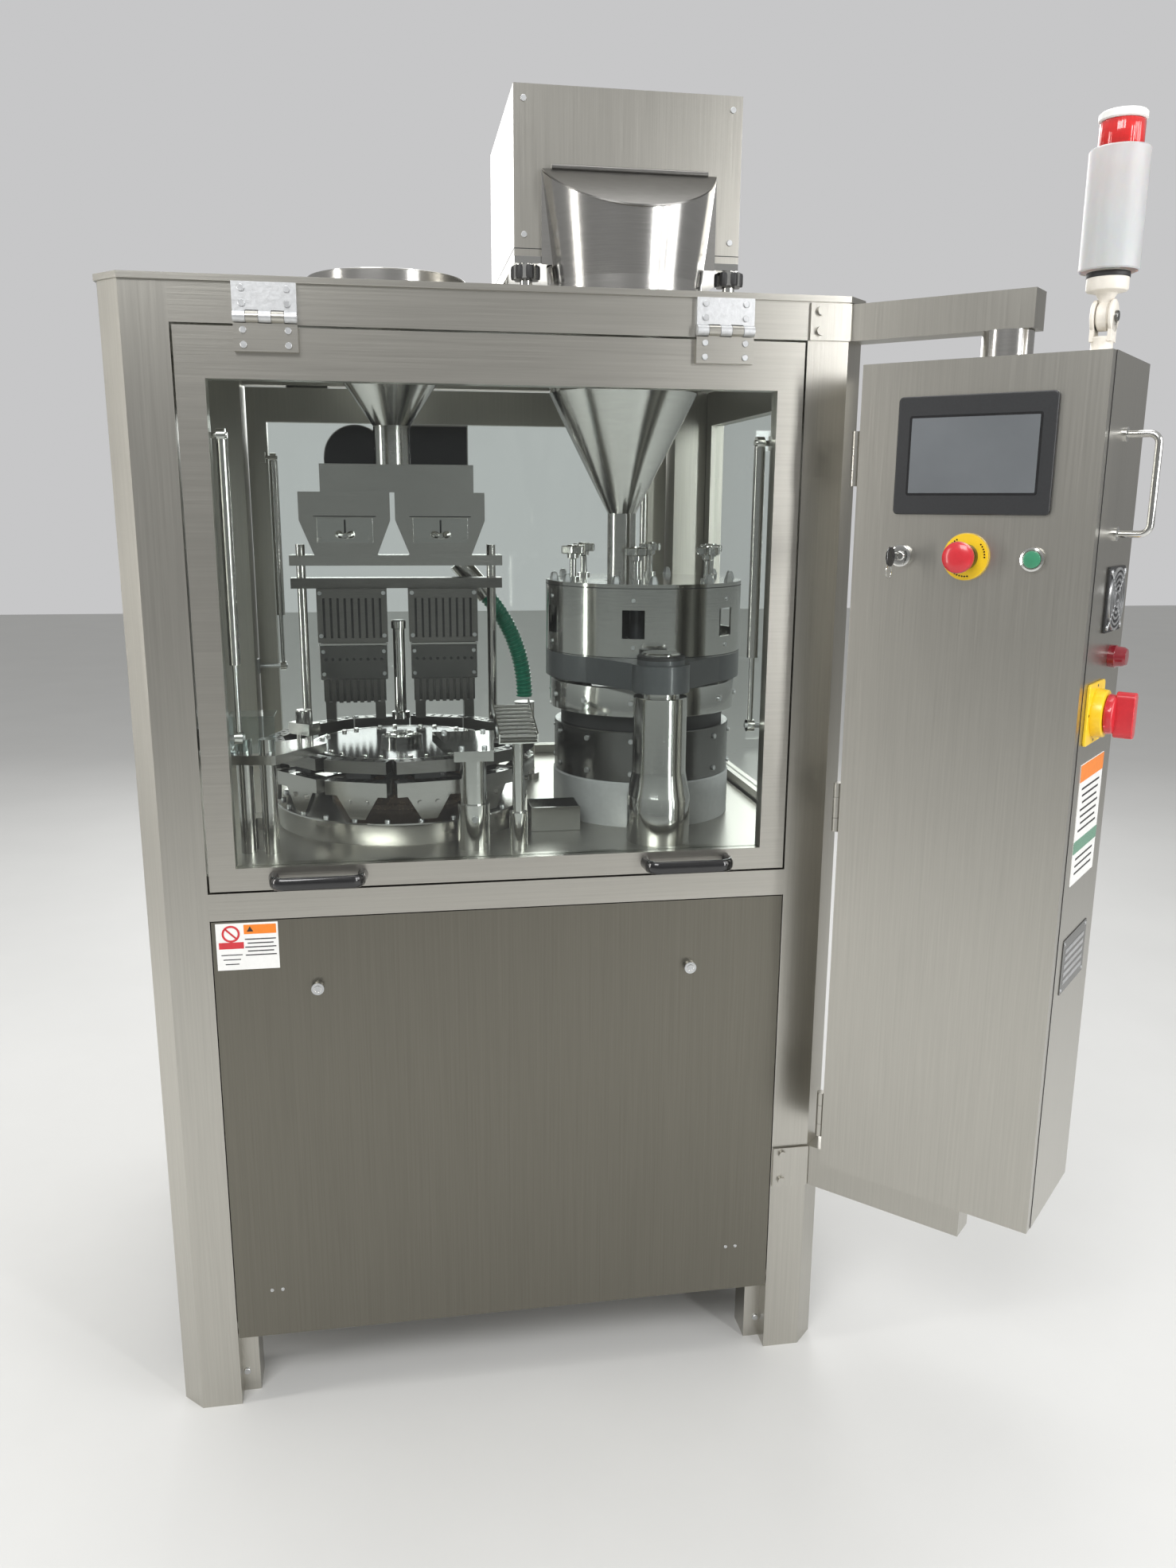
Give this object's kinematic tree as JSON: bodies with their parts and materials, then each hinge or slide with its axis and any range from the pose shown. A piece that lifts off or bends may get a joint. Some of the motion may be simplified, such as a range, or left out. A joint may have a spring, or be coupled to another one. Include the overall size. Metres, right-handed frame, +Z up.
{
  "type": "capsule filler",
  "caption": "Rotary hard-capsule filling machine: stainless cabinet with glazed working chamber, indexing turret, dosing unit, powder hopper and swivelling control cabinet.",
  "frame": {"origin": "centre of the four column soles, on the floor", "axes": "+X to the operator's right, +Y away from the operator, +Z up; the operator stands on the -Y side"},
  "size_m": [1.3392, 1.2149, 1.972],
  "materials": {
    "stainless": "satin brushed stainless steel",
    "polished": "turned and polished stainless steel",
    "cast_arm": "dark grey satin enamel",
    "aluminium": "fine machined aluminium",
    "glass": "clear acrylic pane",
    "black_gloss": "glossy black moulding",
    "red": "glossy red moulding",
    "green": "glossy green moulding",
    "display": "dark grey operator panel",
    "grey_paint": "light grey enamel",
    "motor_blue": "slate enamel",
    "hose_green": "green spiral hose",
    "lamp": "frosted lamp sleeve",
    "galvanised": "zinc plated sheet"
  },
  "bodies": {
    "frame": {"inner_frame": "stainless", "front_columns": "stainless", "rear_columns": "stainless", "frame_rails": "stainless", "top_plate": "stainless", "deck_plate": "stainless", "front_lower_panel": "stainless", "side_and_rear_panels": "stainless", "side_window_frames": "stainless", "side_window_panes": "glass", "fixed_brackets": "aluminium", "turret_base": "stainless", "dosing_base": "polished", "powder_hopper": "polished", "feeder_housing": "stainless", "feeder_stand": "stainless", "capsule_hopper": "polished", "capsule_chutes": "polished", "magazine_guides": "polished", "front_posts": "polished", "closing_station": "polished", "vacuum_hose": "hose_green", "index_boxes": "grey_paint", "motor_and_pump": "motor_blue", "cabinet_arms": "stainless"},
    "latch_left": {"panel_latch_left": "polished"},
    "latch_right": {"panel_latch_right": "polished"},
    "front_window": {"front_window_frame": "stainless", "front_window_pane": "glass", "front_window_handles": "black_gloss"},
    "front_rods": {"front_strut_rods": "polished"},
    "front_tubes": {"front_strut_tubes": "stainless"},
    "rear_window": {"rear_window_frame": "stainless", "rear_window_pane": "glass"},
    "rear_rods": {"rear_strut_rods": "polished"},
    "rear_tubes": {"rear_strut_tubes": "stainless"},
    "turret": {"turret_disc": "polished", "upper_segments": "polished", "lower_segments": "polished"},
    "dosing_disc": {"dosing_disc": "polished"},
    "main_shaft": {"main_shaft": "polished"},
    "tamping_unit": {"tamping_head": "cast_arm", "tamping_shroud": "polished", "adjuster_knobs": "polished"},
    "magazines": {"magazines": "polished"},
    "closing_pusher": {"closing_pusher": "polished"},
    "reject_tray": {"reject_tray": "polished"},
    "hopper_lid": {"hopper_lid": "polished"},
    "powder_auger": {"powder_auger": "polished"},
    "cabinet": {"cabinet_shell": "stainless", "swivel_post": "polished", "cabinet_electrics": "galvanised", "cabinet_fittings": "aluminium"},
    "cabinet_door": {"cabinet_door": "stainless", "operator_panel": "display"},
    "estop": {"estop_head": "red"},
    "start_button": {"start_button": "green"},
    "key": {"cabinet_key": "polished"},
    "main_switch": {"main_switch_handle": "red"},
    "tower_light": {"tower_light": "lamp"}
  },
  "joints": [
    {"name": "front_window_hinge", "type": "hinge", "parent": "frame", "child": "front_window", "pos_m": [0, -0.438, 1.598], "axis": [-1, 0, 0], "range_deg": [0, 90]},
    {"name": "front_strut_swing", "type": "hinge", "parent": "frame", "child": "front_rods", "pos_m": [0, -0.392, 1.048], "axis": [-1, 0, 0], "range_deg": [0, 20.66]},
    {"name": "front_strut_stroke", "type": "slide", "parent": "front_rods", "child": "front_tubes", "axis": [0, 0, 1], "range_m": [0, 0.1318]},
    {"name": "rear_window_hinge", "type": "hinge", "parent": "frame", "child": "rear_window", "pos_m": [0, 0.438, 1.598], "axis": [1, 0, 0], "range_deg": [0, 90]},
    {"name": "rear_strut_swing", "type": "hinge", "parent": "frame", "child": "rear_rods", "pos_m": [0, 0.392, 1.048], "axis": [1, 0, 0], "range_deg": [0, 20.66]},
    {"name": "rear_strut_stroke", "type": "slide", "parent": "rear_rods", "child": "rear_tubes", "axis": [0, 0, 1], "range_m": [0, 0.1318]},
    {"name": "latch_left_turn", "type": "hinge", "parent": "frame", "child": "latch_left", "pos_m": [-0.276, -0.43, 0.686], "axis": [0, 1, 0], "range_deg": [0, 90]},
    {"name": "latch_right_turn", "type": "hinge", "parent": "frame", "child": "latch_right", "pos_m": [0.276, -0.43, 0.686], "axis": [0, -1, 0], "range_deg": [0, 90]},
    {"name": "turret_index", "type": "hinge", "parent": "frame", "child": "turret", "pos_m": [-0.142, -0.07, 0.95], "axis": [0, 0, 1], "continuous": true},
    {"name": "dosing_index", "type": "hinge", "parent": "frame", "child": "dosing_disc", "pos_m": [0.27, -0.08, 1.06], "axis": [0, 0, 1], "continuous": true},
    {"name": "main_shaft_turn", "type": "hinge", "parent": "frame", "child": "main_shaft", "pos_m": [0, -0.075, 0.595], "axis": [1, 0, 0], "continuous": true},
    {"name": "tamping_lift", "type": "slide", "parent": "frame", "child": "tamping_unit", "axis": [0, 0, 1], "range_m": [0, 0.03]},
    {"name": "magazine_lift", "type": "slide", "parent": "frame", "child": "magazines", "axis": [0, 0, 1], "range_m": [0, 0.02]},
    {"name": "closing_push", "type": "slide", "parent": "frame", "child": "closing_pusher", "axis": [0, 0, -1], "range_m": [0, 0.011]},
    {"name": "reject_tray_slide", "type": "slide", "parent": "frame", "child": "reject_tray", "axis": [0, -1, 0], "range_m": [0, 0.11]},
    {"name": "hopper_lid_hinge", "type": "hinge", "parent": "frame", "child": "hopper_lid", "pos_m": [0.222, -0.167, 1.859], "axis": [-1, 0, 0], "range_deg": [0, 100]},
    {"name": "auger_turn", "type": "hinge", "parent": "frame", "child": "powder_auger", "pos_m": [0.222, -0.13, 1.5], "axis": [0, 0, 1], "continuous": true},
    {"name": "cabinet_swivel", "type": "hinge", "parent": "frame", "child": "cabinet", "pos_m": [0.64491, -0.56491, 0.95], "axis": [0, 0, 1], "range_deg": [-45, 90]},
    {"name": "cabinet_door_hinge", "type": "hinge", "parent": "cabinet", "child": "cabinet_door", "pos_m": [0.46459, -0.51753, 0.95], "axis": [0, 0, -1], "range_deg": [0, 90]},
    {"name": "estop_press", "type": "slide", "parent": "cabinet_door", "child": "estop", "axis": [0.7071, 0.7071, 0], "range_m": [0, 0.004]},
    {"name": "start_press", "type": "slide", "parent": "cabinet_door", "child": "start_button", "axis": [0.7071, 0.7071, 0], "range_m": [0, 0.003], "stiffness_N_per_m": 400},
    {"name": "key_turn", "type": "hinge", "parent": "cabinet_door", "child": "key", "pos_m": [0.51338, -0.57481, 1.305], "axis": [0.7071, 0.7071, 0], "range_deg": [0, 90]},
    {"name": "main_switch_turn", "type": "hinge", "parent": "cabinet", "child": "main_switch", "pos_m": [0.73683, -0.69219, 1.11], "axis": [0.7071, -0.7071, 0], "range_deg": [0, 90]},
    {"name": "tower_tilt", "type": "hinge", "parent": "cabinet", "child": "tower_light", "pos_m": [0.7241, -0.65259, 1.598], "axis": [0.7071, -0.7071, 0], "range_deg": [-80, 80]}
  ],
  "couplings": [
    {"joint": "front_strut_swing", "follows": "front_window_hinge", "ratio": 0.2284},
    {"joint": "front_strut_stroke", "follows": "front_window_hinge", "m_per_rad": 0.08357},
    {"joint": "rear_strut_swing", "follows": "rear_window_hinge", "ratio": 0.2284},
    {"joint": "rear_strut_stroke", "follows": "rear_window_hinge", "m_per_rad": 0.08357},
    {"joint": "dosing_index", "follows": "turret_index", "ratio": -2},
    {"joint": "main_shaft_turn", "follows": "turret_index", "ratio": 12}
  ]
}
